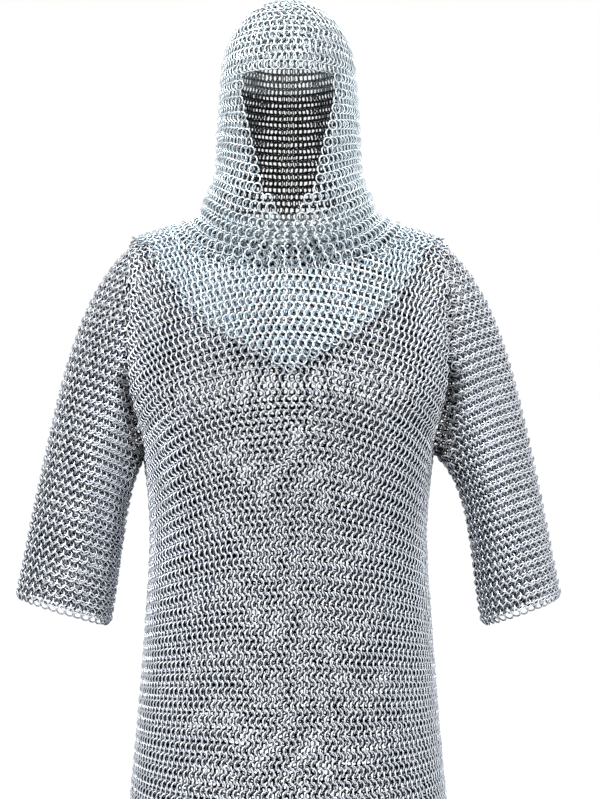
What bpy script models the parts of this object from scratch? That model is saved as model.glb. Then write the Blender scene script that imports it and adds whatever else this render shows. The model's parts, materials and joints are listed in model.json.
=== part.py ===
# Haubergeon with coif: a mail shirt with elbow sleeves, and a mail hood whose
# pointed mantle lies over the shirt's shoulders. Every node is one panel of
# four-in-one mail, as the maker joins them, at its real thickness.
# Metres, +Z up, the front of the garment faces -Y. The origin is the middle of
# the wearer's shoulder line, under the hood.

import math

import bmesh
import bpy
from mathutils import Vector

# Links and the sheet that they make
WIRE = 0.0016
SHEET = 2 * WIRE
SEAM_GAP = 0.0003
LAP_GAP = 0.0020

# Shirt: heights are drops below the origin
SHOULDER_HALF_WIDTH = 0.182
NECK_RISE = 0.020
SHOULDER_DROP = 0.010
CHEST_DROP = 0.120
BLADE_DROP = 0.170
PIT_DROP = 0.250
WAIST_DROP = 0.350
BELLY_DROP = 0.456
HIP_DROP = 0.605
HEM_DROP = 0.785
PIT_ROW_RISE = 0.070
HEM_ROW_SAG = 0.055
ARMHOLE_BULGE = 0.042
NECK_HALF_WIDTH = 0.086

CHEST_HALF_WIDTH = 0.186
PIT_HALF_WIDTH = 0.168
WAIST_HALF_WIDTH = 0.1585
BELLY_HALF_WIDTH = 0.164
HIP_HALF_WIDTH = 0.176
HEM_HALF_WIDTH = 0.200

CHEST_FRONT_DEPTH = 0.122
PIT_FRONT_DEPTH = 0.118
WAIST_FRONT_DEPTH = 0.110
BELLY_FRONT_DEPTH = 0.115
HIP_FRONT_DEPTH = 0.122
HEM_FRONT_DEPTH = 0.136

CHEST_BACK_DEPTH = 0.112
PIT_BACK_DEPTH = 0.106
WAIST_BACK_DEPTH = 0.099
BELLY_BACK_DEPTH = 0.106
HIP_BACK_DEPTH = 0.120
HEM_BACK_DEPTH = 0.134

# Sleeves: the line over the arm and the line under it, in the XZ plane
SHOULDER_TURN = math.radians(42)
SLEEVE_LEAN = math.radians(11)
SHOULDER_HANDLE = 0.095
CUFF_HANDLE = 0.250
CUFF_OUTER_REACH = 0.315
CUFF_OUTER_DROP = 0.418
CUFF_INNER_DROP = 0.450
LEFT_CUFF_INNER_REACH = 0.225
RIGHT_CUFF_INNER_REACH = 0.207
LEFT_PIT_TURN = math.radians(45)
RIGHT_PIT_TURN = math.radians(22)
PIT_HANDLE = 0.070
UNDER_HANDLE = 0.080
SLEEVE_TOP_HALF_DEPTH = 0.064
SLEEVE_MID_HALF_DEPTH = 0.056
CUFF_HALF_DEPTH = 0.050

# Hood: heights above the origin
CROWN_TOP = 0.274
TEMPLE_HEIGHT = 0.185
EAR_HEIGHT = 0.120
JAW_HEIGHT = 0.075
NECK_HEIGHT = 0.040
TEMPLE_HALF_WIDTH = 0.0775
EAR_HALF_WIDTH = 0.0815
JAW_HALF_WIDTH = 0.0835
NECK_HOOD_HALF_WIDTH = 0.0965
THROAT_HALF_WIDTH = 0.110
HEAD_HALF_DEPTH = 0.100
JAW_HALF_DEPTH = 0.096
NECK_HOOD_HALF_DEPTH = 0.097
THROAT_HALF_DEPTH = 0.094
HEAD_SET_FORWARD = 0.010
FACE_HALF_ANGLE = math.radians(46)
FACE_EDGE_WIDTH = 0.009

# Mantle: its width over the shoulder, from the armhole in to the collar, and its point
MANTLE_STRAP = 0.047
MANTLE_POINT_DROP = 0.157

# Shares, chosen by hand
SECTION_FULLNESS_SHARE = 0.035
ARMHOLE_REACH_SHARE = 0.45
FRONT_SHARE = 0.82
SLEEVE_FRONT_SHARE = 0.85
SLEEVE_BLEND_SHARE = 0.36
NECKLINE_FRONT_SHARE = 0.45
NECKLINE_BACK_SHARE = 0.30
COLLAR_FRONT_SHARE = 0.56
COLLAR_BACK_SHARE = 0.46
MANTLE_BACK_SHARE = 0.93
MANTLE_CUT_SHARE = 1.29
FLARE_HANDLE_SHARE = 0.40
FLARE_HEADING_SHARE = 0.1
SURFACE_PROBE_SHARE = 0.001
SLEEVE_MID_SHARE = 0.4
OPENING_SHARE = 0.62
BROW_SHARE = 1 / 3
THROAT_SHARE = 1 / 4

# How finely the panels are cut
FRONT_COLUMNS = 16
SIDE_COLUMNS = 4
YOKE_RINGS = 6
BODY_ROWS = 14
CAP_ROWS = 5
ARM_ROWS = 4
CUFF_ROWS = 5
FACE_COLUMNS = 8
CHEEK_COLUMNS = 20
CROWN_ROWS = 6
HOOD_ROWS = 8
COLLAR_ROWS = 3
MANTLE_ROWS = 6

SHARP_ANGLE = math.radians(40)

MAIL_COLOUR = (0.66, 0.69, 0.72, 1.0)
MAIL_ROUGHNESS = 0.34
MAIL_METALLIC = 1.0


def mix(start, end, share):
    return start + (end - start) * share


def smooth(share):
    share = min(max(share, 0.0), 1.0)
    return share * share * (3 - 2 * share)


def profile(stations):
    """A smooth curve through (place, size) pairs that never overshoots them."""
    places = [station[0] for station in stations]
    sizes = [station[1] for station in stations]
    steps = [b - a for a, b in zip(places, places[1:])]
    slopes = [(b - a) / step for a, b, step in zip(sizes, sizes[1:], steps)]
    tangents = [slopes[0]]
    for before, after in zip(slopes, slopes[1:]):
        same_way = before * after > 0
        tangents.append(2 * before * after / (before + after) if same_way else 0.0)
    tangents.append(slopes[-1])

    def size_at(place):
        k = 0
        while k < len(steps) - 1 and place > places[k + 1]:
            k += 1
        share = min(max((place - places[k]) / steps[k], 0.0), 1.0)
        square = share * share
        cube = square * share
        return (
            (2 * cube - 3 * square + 1) * sizes[k]
            + (cube - 2 * square + share) * steps[k] * tangents[k]
            + (3 * square - 2 * cube) * sizes[k + 1]
            + (cube - square) * steps[k] * tangents[k + 1]
        )

    return size_at


body_half_width = profile([
    (0.0, SHOULDER_HALF_WIDTH),
    (CHEST_DROP, CHEST_HALF_WIDTH),
    (BLADE_DROP, CHEST_HALF_WIDTH),
    (PIT_DROP, PIT_HALF_WIDTH),
    (WAIST_DROP, WAIST_HALF_WIDTH),
    (BELLY_DROP, BELLY_HALF_WIDTH),
    (HIP_DROP, HIP_HALF_WIDTH),
    (HEM_DROP + HEM_ROW_SAG, HEM_HALF_WIDTH),
])
body_front_depth = profile([
    (CHEST_DROP, CHEST_FRONT_DEPTH),
    (BLADE_DROP, CHEST_FRONT_DEPTH),
    (PIT_DROP, PIT_FRONT_DEPTH),
    (WAIST_DROP, WAIST_FRONT_DEPTH),
    (BELLY_DROP, BELLY_FRONT_DEPTH),
    (HIP_DROP, HIP_FRONT_DEPTH),
    (HEM_DROP + HEM_ROW_SAG, HEM_FRONT_DEPTH),
])
body_back_depth = profile([
    (CHEST_DROP, CHEST_BACK_DEPTH),
    (BLADE_DROP, CHEST_BACK_DEPTH),
    (PIT_DROP, PIT_BACK_DEPTH),
    (WAIST_DROP, WAIST_BACK_DEPTH),
    (BELLY_DROP, BELLY_BACK_DEPTH),
    (HIP_DROP, HIP_BACK_DEPTH),
    (HEM_DROP + HEM_ROW_SAG, HEM_BACK_DEPTH),
])


def body_section(around):
    """Unit section: around is 0 at the front, 1 at the left side, 2 at the back."""
    turn = around * math.pi / 2
    fullness = SECTION_FULLNESS_SHARE
    across = (math.sin(turn) + fullness * math.sin(3 * turn)) / (1 - fullness)
    ahead = (math.cos(turn) - fullness * math.cos(3 * turn)) / (1 - fullness)
    return across, ahead


def body_at(around, height):
    across, ahead = body_section(around)
    depth = body_front_depth(-height) if ahead > 0 else body_back_depth(-height)
    return Vector((body_half_width(-height) * across, -depth * ahead, height))


def pit_row_height(around):
    turn = around * math.pi / 2
    return -PIT_DROP + PIT_ROW_RISE * math.cos(turn) ** 2


def hem_row_height(around):
    turn = around * math.pi / 2
    return -HEM_DROP - HEM_ROW_SAG * math.cos(turn) ** 2


def body(around, down):
    """The shirt below the armpits: down is 0 at the armpit row and 1 at the hem."""
    return body_at(around, mix(pit_row_height(around), hem_row_height(around), down))


def yoke(across, over):
    """The shirt above the armpits, as one sheet over the shoulders.

    across runs from -1 at the right armhole to 1 at the left one. over is 0 on
    the shoulder line, 1 at the front armpit row and -1 at the back one.
    """
    share = abs(over)
    around = FRONT_SHARE * across if over >= 0 else 2 - FRONT_SHARE * across
    lean = math.sin(share * math.pi / 2)
    fall = 1 - math.cos(share * math.pi / 2)
    top_height = mix(NECK_RISE, -SHOULDER_DROP, across * across)
    height = mix(top_height, pit_row_height(around), fall)
    low = body_at(around, min(height, 0.0))
    at_armhole = smooth((abs(across) - ARMHOLE_REACH_SHARE) / (1 - ARMHOLE_REACH_SHARE))
    bulge = ARMHOLE_BULGE * math.sin(share * math.pi) * at_armhole
    ahead = low.y * lean - math.copysign(bulge, over)
    return Vector((mix(SHOULDER_HALF_WIDTH * across, low.x, lean), ahead, height))


sleeve_half_depth = profile([
    (0.0, SLEEVE_TOP_HALF_DEPTH),
    (SLEEVE_MID_SHARE, SLEEVE_MID_HALF_DEPTH),
    (1.0, CUFF_HALF_DEPTH),
])


def bezier(first, second, third, fourth, share):
    rest = 1 - share
    return (
        first * rest ** 3
        + second * 3 * rest * rest * share
        + third * 3 * rest * share * share
        + fourth * share ** 3
    )


def over_arm(along):
    start = Vector((SHOULDER_HALF_WIDTH, 0.0, -SHOULDER_DROP))
    end = Vector((CUFF_OUTER_REACH, 0.0, -CUFF_OUTER_DROP))
    leave = Vector((math.cos(SHOULDER_TURN), 0.0, -math.sin(SHOULDER_TURN)))
    arrive = Vector((math.sin(SLEEVE_LEAN), 0.0, -math.cos(SLEEVE_LEAN)))
    return bezier(start, start + leave * SHOULDER_HANDLE, end - arrive * CUFF_HANDLE, end, along)


def under_arm(side, along):
    pit_turn = LEFT_PIT_TURN if side > 0 else RIGHT_PIT_TURN
    inner_reach = LEFT_CUFF_INNER_REACH if side > 0 else RIGHT_CUFF_INNER_REACH
    start = Vector((PIT_HALF_WIDTH, 0.0, -PIT_DROP))
    end = Vector((inner_reach, 0.0, -CUFF_INNER_DROP))
    leave = Vector((math.sin(pit_turn), 0.0, -math.cos(pit_turn)))
    arrive = Vector((math.sin(SLEEVE_LEAN), 0.0, -math.cos(SLEEVE_LEAN)))
    return bezier(start, start + leave * PIT_HANDLE, end - arrive * UNDER_HANDLE, end, along)


def round_sleeve(side, along, turn):
    """An oval section of the sleeve: turn is 0 over the arm and pi under it."""
    point = mix(over_arm(along), under_arm(side, along), (1 - math.cos(turn)) / 2)
    return Vector((side * point.x, -sleeve_half_depth(along) * math.sin(turn), point.z))


def sleeve(side, along, round_share):
    """One sleeve, from the armhole to the cuff.

    round_share is 0 over the arm, 1 and -1 where the front and the back of the
    armhole end, and 2 under the arm.
    """
    share = abs(round_share)
    front = math.copysign(1, round_share)
    if share <= 1:
        turn = share * SLEEVE_FRONT_SHARE * math.pi
        armhole = yoke(side, round_share)
    else:
        turn = mix(SLEEVE_FRONT_SHARE, 1, share - 1) * math.pi
        around = mix(FRONT_SHARE, 1, share - 1)
        armhole = body(side * around if front > 0 else 2 - side * around, 0.0)
    turn *= front
    left = 1 - smooth(along / SLEEVE_BLEND_SHARE)
    return round_sleeve(side, along, turn) + (armhole - round_sleeve(side, 0.0, turn)) * left


hood_half_width = profile([
    (-TEMPLE_HEIGHT, TEMPLE_HALF_WIDTH),
    (-EAR_HEIGHT, EAR_HALF_WIDTH),
    (-JAW_HEIGHT, JAW_HALF_WIDTH),
    (-NECK_HEIGHT, NECK_HOOD_HALF_WIDTH),
    (0.0, THROAT_HALF_WIDTH),
])
hood_half_depth = profile([
    (-TEMPLE_HEIGHT, HEAD_HALF_DEPTH),
    (-EAR_HEIGHT, HEAD_HALF_DEPTH),
    (-JAW_HEIGHT, JAW_HALF_DEPTH),
    (-NECK_HEIGHT, NECK_HOOD_HALF_DEPTH),
    (0.0, THROAT_HALF_DEPTH),
])


def crown(turn, down):
    """The round top of the hood: down is 0 at the top and 1 at the temples."""
    fall = down * math.pi / 2
    radius = math.sin(fall)
    return Vector((
        TEMPLE_HALF_WIDTH * radius * math.sin(turn),
        -HEAD_SET_FORWARD - HEAD_HALF_DEPTH * radius * math.cos(turn),
        mix(TEMPLE_HEIGHT, CROWN_TOP, math.cos(fall)),
    ))


def hood(turn, down):
    """The hood beside and behind the face: down is 0 at the temples, 1 at the neck."""
    front = max(math.cos(turn), 0.0) ** 2
    height = mix(TEMPLE_HEIGHT, NECK_HEIGHT * (1 - front), down)
    return Vector((
        hood_half_width(-height) * math.sin(turn),
        -HEAD_SET_FORWARD - hood_half_depth(-height) * math.cos(turn),
        height,
    ))


def mantle_sheet(across, over):
    """The shirt's shoulders, raised by the lap and by the mantle's own sheet."""
    step = SURFACE_PROBE_SHARE
    here = yoke(across, over)
    sideways = yoke(across + step, over) - yoke(across - step, over)
    frontways = yoke(across, over + step) - yoke(across, over - step)
    return here + frontways.cross(sideways).normalized() * (LAP_GAP + SHEET)


def landing(turn):
    across = (SHOULDER_HALF_WIDTH - MANTLE_STRAP) / SHOULDER_HALF_WIDTH * math.sin(turn)
    front_or_back = COLLAR_FRONT_SHARE if math.cos(turn) > 0 else COLLAR_BACK_SHARE
    return across, front_or_back * math.cos(turn)


def mantle_edge(turn):
    """Where the pointed mantle is cut off, straight down from the landing."""
    across, over = landing(turn)
    front_fall = (MANTLE_POINT_DROP + NECK_RISE) / (NECK_RISE + PIT_DROP - PIT_ROW_RISE)
    tip = math.acos(1 - front_fall) * 2 / math.pi if math.cos(turn) > 0 else MANTLE_BACK_SHARE
    power = MANTLE_CUT_SHARE
    stretch = (abs(across) ** power + abs(over / tip) ** power) ** (-1 / power)
    return across * stretch, over * stretch


def mantle(turn, out):
    start = landing(turn)
    end = mantle_edge(turn)
    return mantle_sheet(mix(start[0], end[0], out), mix(start[1], end[1], out))


def collar(turn, down):
    """The neck's flare, from the bottom of the hood to the shoulders."""
    first = hood(turn, 1.0)
    last = mantle(turn, 0.0)
    run = (last - first).length * FLARE_HANDLE_SHARE
    heading = (mantle(turn, FLARE_HEADING_SHARE) - last).normalized()
    return bezier(first, first + Vector((0, 0, -run)), last - heading * run, last, down)


class Skin:
    """Cells of a garment's outer surface, each with the name of its panel."""

    def __init__(self):
        self.points = []
        self.index = {}
        self.cells = []

    def point(self, place):
        key = tuple(round(value, 6) for value in place)
        if key not in self.index:
            self.index[key] = len(self.points)
            self.points.append(Vector(place))
        return self.index[key]

    def add(self, corners, panel):
        ids = []
        for corner in corners:
            number = self.point(corner)
            if number not in ids:
                ids.append(number)
        if len(ids) > 2:
            self.cells.append((ids, panel))

    def add_open(self, corners, panel):
        """A cell round an opening, whose corners point to the middles of the cell's sides."""
        middle = sum(corners, Vector()) / len(corners)
        after = corners[1:] + corners[:1]
        opening = [middle.lerp((a + b) / 2, OPENING_SHARE) for a, b in zip(corners, after)]
        for k in range(len(corners)):
            following = (k + 1) % len(corners)
            self.add((corners[k], after[k], opening[k]), panel)
            self.add((after[k], opening[following], opening[k]), panel)

    def grid(self, surface, columns, rows, panel_of, is_open=lambda i, j: False):
        """Cells between columns and rows, their corners running so that they face out."""
        places = [[surface(column, row) for row in rows] for column in columns]
        for i in range(len(columns) - 1):
            for j in range(len(rows) - 1):
                corners = [places[i][j], places[i][j + 1], places[i + 1][j + 1], places[i + 1][j]]
                place_cell = self.add_open if is_open(i, j) else self.add
                place_cell(corners, panel_of(i, j))

    def normals(self):
        found = [Vector() for _ in self.points]
        for ids, _ in self.cells:
            facing = face_normal([self.points[number] for number in ids])
            for number in ids:
                found[number] += facing
        return [facing.normalized() for facing in found]

    def panels(self):
        names = []
        for _, panel in self.cells:
            if panel not in names:
                names.append(panel)
        return names


def face_normal(corners):
    total = Vector()
    for here, after in zip(corners, corners[1:] + corners[:1]):
        total += here.cross(after)
    return total


def spaced(start, end, count):
    return [mix(start, end, k / count) for k in range(count + 1)]


def shirt_skin():
    skin = Skin()
    half = FRONT_COLUMNS // 2

    # The yoke: rays from the neckline to the armpit rows and the armholes
    rim = [(k / half, 1.0) for k in range(-half, half)]
    rim += [(1.0, -k / half) for k in range(-half, half)]
    rim += [(-k / half, -1.0) for k in range(-half, half)]
    rim += [(-1.0, k / half) for k in range(-half, half)]
    rim.append(rim[0])
    names = ("chest", "left_shoulder", "upper_back", "right_shoulder")

    def yoke_ray(number, out):
        across, over = rim[number]
        turn = math.atan2(across, over)
        drop = NECKLINE_FRONT_SHARE if over > 0 else NECKLINE_BACK_SHARE
        neck = (NECK_HALF_WIDTH / SHOULDER_HALF_WIDTH * math.sin(turn), drop * math.cos(turn))
        return yoke(mix(neck[0], across, out), mix(neck[1], over, out))

    def yoke_panel(number, ring):
        if ring == 0:
            return "neck_edge"
        sector, place = divmod(number, FRONT_COLUMNS)
        if sector % 2 == 0 and place < SIDE_COLUMNS // 2:
            return names[sector - 1]
        if sector % 2 == 0 and place >= FRONT_COLUMNS - SIDE_COLUMNS // 2:
            return names[sector + 1]
        return names[sector]

    edge_out = 1 / (2 * YOKE_RINGS)
    rings = [0.0] + spaced(edge_out, 1.0, YOKE_RINGS)
    skin.grid(yoke_ray, range(len(rim)), rings, yoke_panel)

    # The body, from the armpit row to the hem
    front = [FRONT_SHARE * k / half for k in range(-half, half + 1)]
    left = spaced(FRONT_SHARE, 2 - FRONT_SHARE, SIDE_COLUMNS)
    back = [2 + around for around in front]
    right = [2 + around for around in left]
    columns = front[:-1] + left[:-1] + back[:-1] + right
    rows = spaced(0.0, 1.0, BODY_ROWS)

    def body_panel(column, row):
        if row == BODY_ROWS - 1:
            return "hem_edge"
        part = "waist" if row < BODY_ROWS // 2 else "skirt"
        for name, many in (("front", front), ("left", left), ("back", back), ("right", right)):
            column -= len(many) - 1
            if column < 0:
                break
        return f"{name}_{part}" if name in ("front", "back") else f"{name}_{part}_side"

    # The front panels show their links: an opening in every second cell, each row half a step on
    def shows_links(column, row):
        return body_panel(column, row) in ("front_waist", "front_skirt") and (column + row) % 2 == 0

    skin.grid(body, columns, rows, body_panel, shows_links)

    # The sleeves
    sleeve_rows = CAP_ROWS + ARM_ROWS + CUFF_ROWS
    along_rows = spaced(0.0, 1.0, sleeve_rows)
    under_columns = SIDE_COLUMNS // 2
    under_front = spaced(2.0, 1.0, under_columns)
    over = spaced(1.0, -1.0, FRONT_COLUMNS)
    under_back = spaced(-1.0, -2.0, under_columns)
    shares = under_front[:-1] + over[:-1] + under_back
    for side, word in ((1, "left"), (-1, "right")):

        def sleeve_panel(column, row):
            if row == sleeve_rows - 1:
                return f"{word}_cuff_edge"
            if row >= CAP_ROWS + ARM_ROWS:
                return f"{word}_lower_sleeve"
            if row >= CAP_ROWS:
                return f"{word}_upper_sleeve"
            if column < 2 * under_columns or column >= len(shares) - 1 - 2 * under_columns:
                return f"{word}_gusset"
            return f"{word}_shoulder_cap"

        turned = shares if side > 0 else shares[::-1]
        skin.grid(lambda share, along: sleeve(side, along, share), turned, along_rows, sleeve_panel)
    return skin


def face_edge_turn(down):
    return FACE_HALF_ANGLE * (1 - down * down)


def coif_skin():
    skin = Skin()
    strip = FACE_EDGE_WIDTH / TEMPLE_HEIGHT
    outer_angle = FACE_HALF_ANGLE

    # The crown and the brow, whose columns end on those beside the face
    back = math.pi
    face_turns = spaced(-outer_angle, outer_angle, FACE_COLUMNS)
    left_turns = spaced(outer_angle, back, CHEEK_COLUMNS)
    right_turns = spaced(-back, -outer_angle, CHEEK_COLUMNS)
    turns = right_turns[:-1] + face_turns[:-1] + left_turns

    def crown_panel(column, row):
        return "brow_band" if row >= round(CROWN_ROWS * (1 - BROW_SHARE)) else "crown"

    skin.grid(crown, turns, spaced(0.0, 1.0, CROWN_ROWS), crown_panel)

    # Beside and behind the face
    rows = spaced(0.0, 1.0, HOOD_ROWS)
    throat_row = round(HOOD_ROWS * (1 - THROAT_SHARE))
    cheek_columns = CHEEK_COLUMNS // 2
    for side, word in ((1, "left"), (-1, "right")):

        def side_panel(column, row):
            outward = column if side > 0 else CHEEK_COLUMNS - 1 - column
            if outward < cheek_columns:
                return f"{word}_cheek" if row < throat_row else f"{word}_throat"
            return "nape" if row < throat_row else "neck_back"

        def beside_face(share, down):
            edge = face_edge_turn(down)
            return hood(side * mix(edge, back, share), down)

        shares = spaced(0.0, 1.0, CHEEK_COLUMNS)
        if side < 0:
            shares.reverse()
        skin.grid(beside_face, shares, rows, side_panel)

    # The collar and the mantle, as full rings
    ring_columns = 2 * CHEEK_COLUMNS
    ring_turns = spaced(-back, back, ring_columns)

    def mantle_panel(column, row):
        if row == MANTLE_ROWS - 1:
            return "mantle_edge"
        quarter = (column + ring_columns // 8) * 4 // ring_columns % 4
        return ("mantle_back", "mantle_right", "mantle_front", "mantle_left")[quarter]

    skin.grid(collar, ring_turns, spaced(0.0, 1.0, COLLAR_ROWS), lambda column, row: "collar")
    skin.grid(mantle, ring_turns, spaced(0.0, 1.0, MANTLE_ROWS), mantle_panel)

    # The turned edge of the face opening: a strip inside the cheeks and the brow
    def beside_opening(side, number, inward):
        down = number / HOOD_ROWS
        inner_down = mix(strip, 1 - strip, down)
        outer_turn = face_edge_turn(down)
        inner_turn = (outer_angle - strip) * (1 - down * down)
        return hood(side * mix(outer_turn, inner_turn, inward), mix(down, inner_down, inward))

    def under_brow(number, inward):
        turn = face_turns[number] * (1 - inward * strip / outer_angle)
        return hood(turn, inward * strip)

    def left_opening(number, inward):
        return beside_opening(1, number, inward)

    def right_opening(number, inward):
        return beside_opening(-1, number, inward)

    def edge_panel(cell):
        return "face_edge" if cell < throat_row else "throat_edge"

    down_rows = list(range(HOOD_ROWS + 1))
    skin.grid(left_opening, down_rows, [0.0, 1.0], lambda i, j: edge_panel(i))
    skin.grid(right_opening, down_rows, [1.0, 0.0], lambda i, j: edge_panel(i))
    skin.grid(under_brow, range(len(face_turns)), [0.0, 1.0], lambda i, j: "face_edge")
    return skin


def border_edges(cells):
    """Directed edges that only one of the cells uses."""
    used = {}
    for ids in cells:
        for here, after in zip(ids, ids[1:] + ids[:1]):
            used[(here, after)] = True
    return [edge for edge in used if (edge[1], edge[0]) not in used]


def seam_shifts(skin, cells, normals):
    """Draws a panel's border in by half the gap of a seam, all along it."""
    inward = {}
    for here, after in border_edges(cells):
        run = (skin.points[after] - skin.points[here]).normalized()
        for number in (here, after):
            inward.setdefault(number, []).append(normals[number].cross(run).normalized())
    shifts = {}
    for number, ways in inward.items():
        total = sum(ways, Vector())
        straight = total.length_squared / len(ways)
        shifts[number] = total * (SEAM_GAP / 2 / straight * (len(ways) / 2))
    return shifts


def build_panel(skin, normals, name):
    cells = [ids for ids, panel in skin.cells if panel == name]
    shifts = seam_shifts(skin, cells, normals)
    mesh = bmesh.new()
    outer = {}
    inner = {}
    for number in sorted({number for ids in cells for number in ids}):
        place = skin.points[number] + shifts.get(number, Vector())
        outer[number] = mesh.verts.new(place)
        inner[number] = mesh.verts.new(place - normals[number] * SHEET)
    for ids in cells:
        mesh.faces.new([outer[number] for number in ids])
        mesh.faces.new([inner[number] for number in reversed(ids)])
    for here, after in border_edges(cells):
        mesh.faces.new([outer[after], outer[here], inner[here], inner[after]])
    bmesh.ops.triangulate(mesh, faces=mesh.faces)
    bmesh.ops.recalc_face_normals(mesh, faces=mesh.faces)
    data = bpy.data.meshes.new(name)
    mesh.to_mesh(data)
    mesh.free()
    data.shade_smooth()
    data.set_sharp_from_angle(angle=SHARP_ANGLE)
    data.materials.append(mail_material(name))
    thing = bpy.data.objects.new(name, data)
    bpy.context.scene.collection.objects.link(thing)
    return thing


def mail_material(name):
    material = bpy.data.materials.new(f"{name}_mail")
    material.use_nodes = True
    shader = material.node_tree.nodes["Principled BSDF"]
    shader.inputs["Base Color"].default_value = MAIL_COLOUR
    shader.inputs["Metallic"].default_value = MAIL_METALLIC
    shader.inputs["Roughness"].default_value = MAIL_ROUGHNESS
    return material


def build():
    for old in list(bpy.data.objects):
        bpy.data.objects.remove(old, do_unlink=True)
    for skin in (shirt_skin(), coif_skin()):
        normals = skin.normals()
        for name in skin.panels():
            build_panel(skin, normals, name)


build()
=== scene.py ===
# Haubergeon with coif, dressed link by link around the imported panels
# Lengths are in metres, angles in degrees, and heights start at the shoulder line
import json
import math

import bpy
import numpy as np
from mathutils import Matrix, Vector


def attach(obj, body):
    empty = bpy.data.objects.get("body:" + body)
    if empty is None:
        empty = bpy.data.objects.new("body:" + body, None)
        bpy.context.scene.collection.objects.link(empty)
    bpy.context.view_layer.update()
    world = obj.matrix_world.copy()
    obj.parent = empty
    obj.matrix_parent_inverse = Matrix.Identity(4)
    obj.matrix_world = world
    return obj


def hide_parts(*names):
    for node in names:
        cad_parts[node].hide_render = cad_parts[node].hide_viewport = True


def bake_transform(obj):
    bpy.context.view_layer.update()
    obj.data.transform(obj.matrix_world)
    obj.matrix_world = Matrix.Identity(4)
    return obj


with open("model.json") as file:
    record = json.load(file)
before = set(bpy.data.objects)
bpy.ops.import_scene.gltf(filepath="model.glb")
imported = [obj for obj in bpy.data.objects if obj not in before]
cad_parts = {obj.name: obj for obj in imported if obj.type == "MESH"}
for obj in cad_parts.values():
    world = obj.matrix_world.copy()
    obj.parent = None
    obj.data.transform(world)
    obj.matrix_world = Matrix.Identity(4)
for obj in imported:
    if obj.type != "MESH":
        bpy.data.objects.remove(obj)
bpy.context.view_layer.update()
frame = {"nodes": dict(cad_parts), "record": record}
bpy.ops.object.select_all(action="DESELECT")
chance = np.random.default_rng(1066)


def mix(start, end, share):
    return start + (end - start) * share


# Eases in and out between 0 and 1
def smooth(share):
    share = min(max(share, 0.0), 1.0)
    return share * share * (3 - 2 * share)


def bezier(first, second, third, fourth, share):
    rest = 1 - share
    return (first * rest ** 3 + second * 3 * rest * rest * share
            + third * 3 * rest * share * share + fourth * share ** 3)


# A smooth curve through (place, size) pairs that never overshoots them
def profile(stations):
    places = [station[0] for station in stations]
    sizes = [station[1] for station in stations]
    steps = [b - a for a, b in zip(places, places[1:])]
    slopes = [(b - a) / step for a, b, step in zip(sizes, sizes[1:], steps)]
    tangents = [slopes[0]]
    for before, after in zip(slopes, slopes[1:]):
        tangents.append(2 * before * after / (before + after) if before * after > 0 else 0.0)
    tangents.append(slopes[-1])

    def sizeAt(place):
        k = 0
        while k < len(steps) - 1 and place > places[k + 1]:
            k += 1
        share = min(max((place - places[k]) / steps[k], 0.0), 1.0)
        square = share * share
        cube = square * share
        return ((2 * cube - 3 * square + 1) * sizes[k]
                + (cube - 2 * square + share) * steps[k] * tangents[k]
                + (3 * square - 2 * cube) * sizes[k + 1]
                + (cube - square) * steps[k] * tangents[k + 1])

    return sizeAt


# The running length of a curve at evenly spaced places from start to end
def runAlong(curve, start, end, cuts=64):
    places = np.linspace(start, end, cuts + 1)
    points = [curve(place) for place in places]
    lengths = [0.0]
    for here, after in zip(points, points[1:]):
        lengths.append(lengths[-1] + (after - here).length)
    return places, np.array(lengths)


# How links lie in the weave: banked more where rows or columns draw closer together, and
# rolled as well where the rows are closest
weave = dict(
    sink=0.0016,  # middle of the links under the panel's outer face
    loosePitch=0.0094, looseTilt=20, tiltPerMetre=5600, leastTilt=16, mostTilt=40,
    looseColumn=0.0083, crowdTiltPerMetre=6000,
    rollPitch=0.0073, rollPerMetre=7000, mostRoll=14,
    slip=0.00015, wobble=2.6,  # how far chance moves and turns each link
)

# Each piece's links: middle, direction along the row, outward direction, tilt, roll and rise
laid = {}


# bank is 1 and -1 on alternate rows; rib is how far those rows stand out and sink in
def layLink(piece, middle, alongRow, acrossRow, outward, bank, rib, flatten=1.0):
    pitch = acrossRow.length
    tilt = weave["looseTilt"] + (weave["loosePitch"] - pitch) * weave["tiltPerMetre"]
    tilt += max(weave["looseColumn"] - alongRow.length, 0.0) * weave["crowdTiltPerMetre"]
    tilt = min(max(tilt, weave["leastTilt"]), weave["mostTilt"])
    roll = min(max((weave["rollPitch"] - pitch) * weave["rollPerMetre"], 0.0), weave["mostRoll"])
    rise = rib * bank
    laid.setdefault(piece, []).append(
        (*(middle + outward * rise), *alongRow.normalized(), *outward,
         tilt * bank * flatten, roll, rise))


# Lays a link at (row, column) of a weave, whose place function takes parts of rows and columns
# too; side is -1 for rows that are counted upwards, so that their links still face outwards
def layAt(piece, placeAt, row, column, rib, side=1, flatten=1.0):
    near = 0.25
    middle = placeAt(row, column)
    alongRow = (placeAt(row, column + near) - placeAt(row, column - near)) / (2 * near)
    downRow = (placeAt(row + near, column) - placeAt(row - near, column)) / (2 * near)
    outward = downRow.cross(alongRow).normalized() * side
    acrossRow = downRow - alongRow * (downRow.dot(alongRow) / alongRow.length_squared)
    layLink(piece, middle - outward * weave["sink"], alongRow, acrossRow, outward,
            -1 if row % 2 else 1, rib, flatten)


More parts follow.
